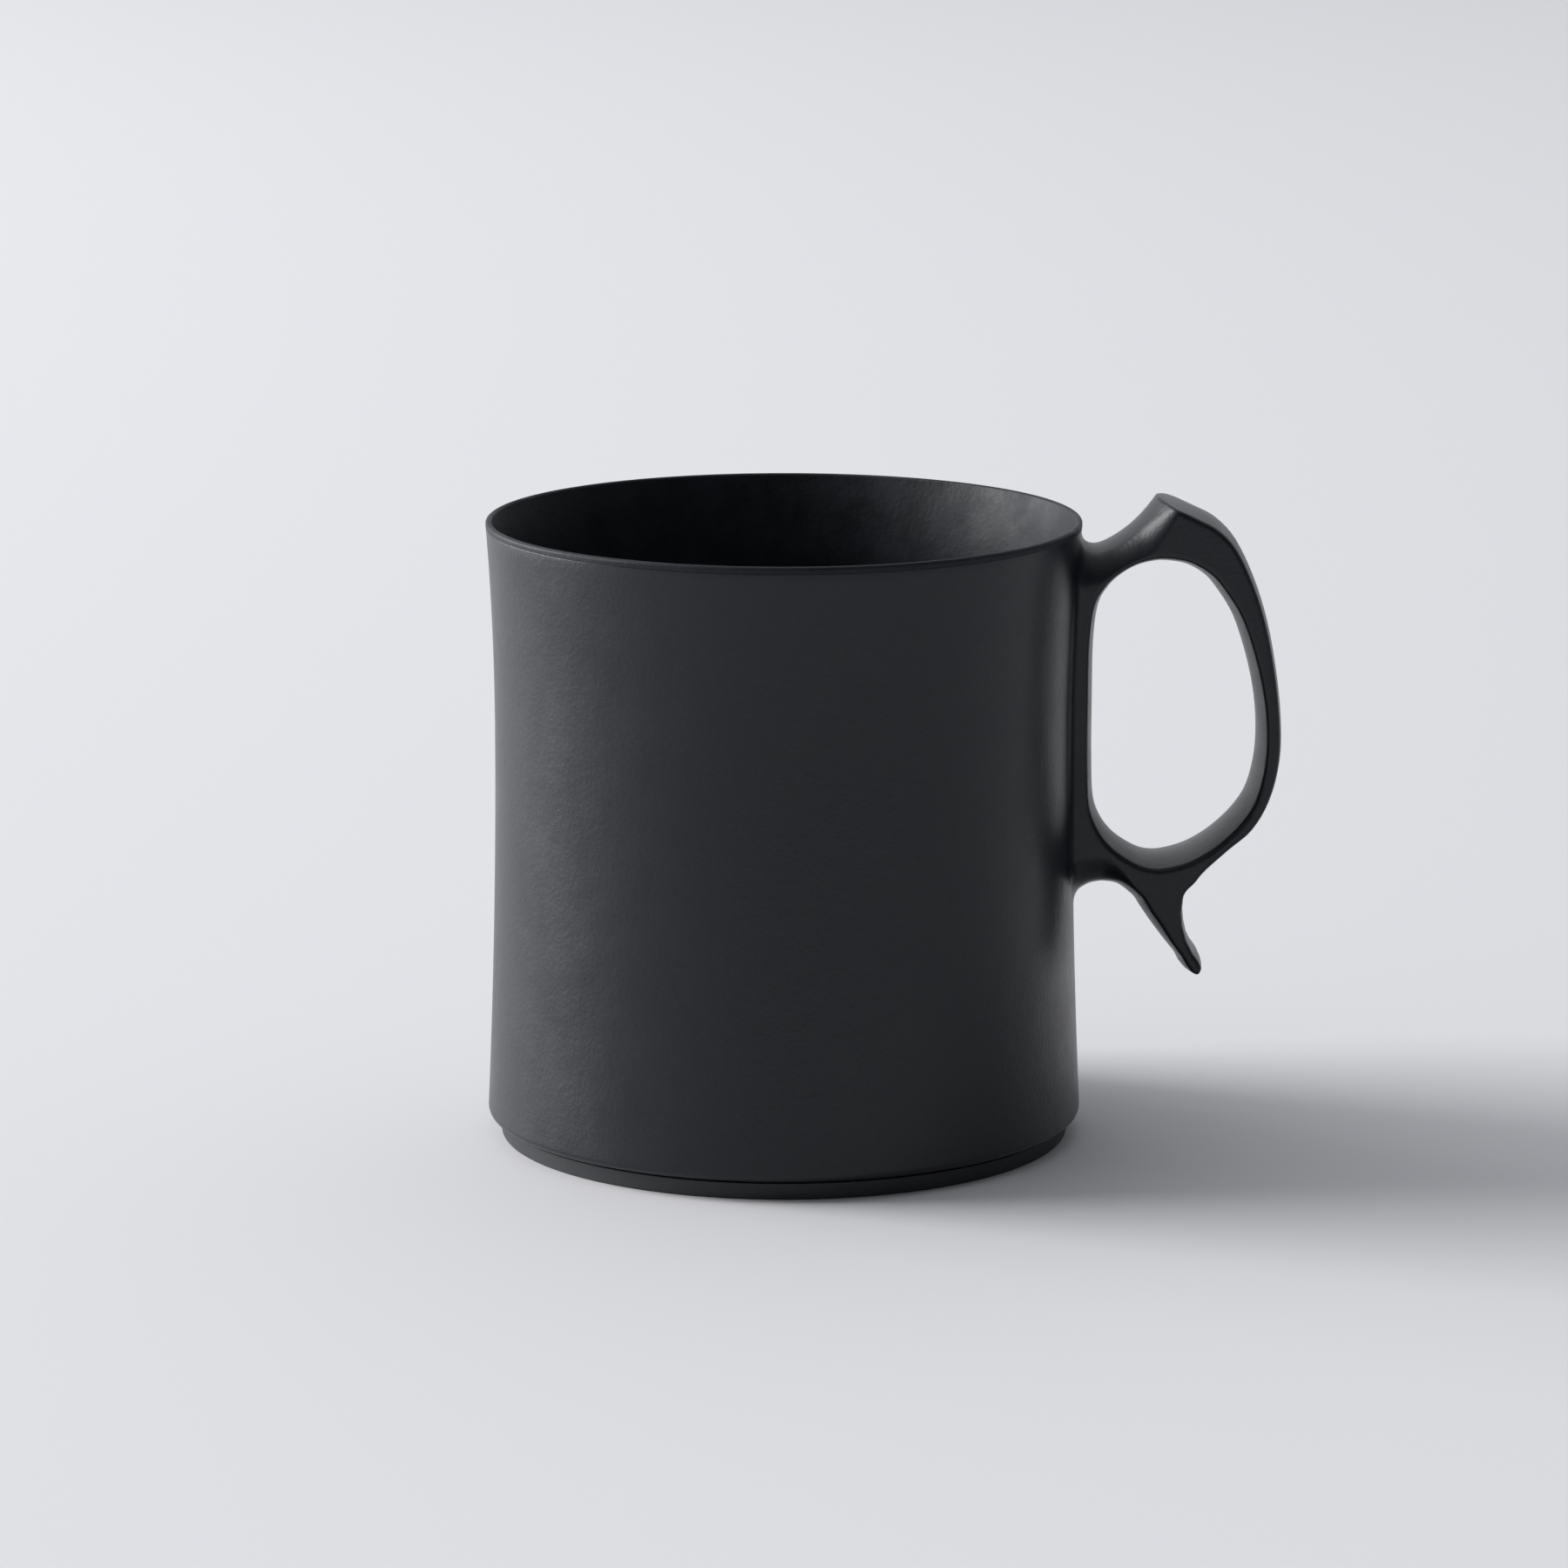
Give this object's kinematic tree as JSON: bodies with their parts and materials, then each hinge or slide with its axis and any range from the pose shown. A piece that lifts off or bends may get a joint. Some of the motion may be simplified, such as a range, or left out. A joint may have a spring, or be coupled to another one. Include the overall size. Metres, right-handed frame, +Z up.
{
  "type": "mug",
  "caption": "Thin-walled ceramic mug with a slightly waisted cup, a looped handle with a thumb rest, and a hooked spur below the loop.",
  "frame": {"origin": "on the mug's axis, in the plane the foot ring stands on", "axes": "+Z up along the mug's axis, +X out along the handle, +Y across the handle"},
  "size_m": [0.1143, 0.0858, 0.0928],
  "materials": {
    "charcoal_clay": "smooth matt charcoal, stained through and unglazed outside",
    "bare_clay": "bare matt foot, slightly paler where it is wiped",
    "dried_slip": "matt slip of the same stained clay",
    "lining_glaze": "satin dark glaze, softly mottled"
  },
  "bodies": {
    "root": {"cup_body": "charcoal_clay", "foot_ring": "bare_clay", "foot_slip": "dried_slip", "handle": "charcoal_clay", "handle_slip": "dried_slip", "lining_glaze": "lining_glaze"}
  },
  "joints": []
}
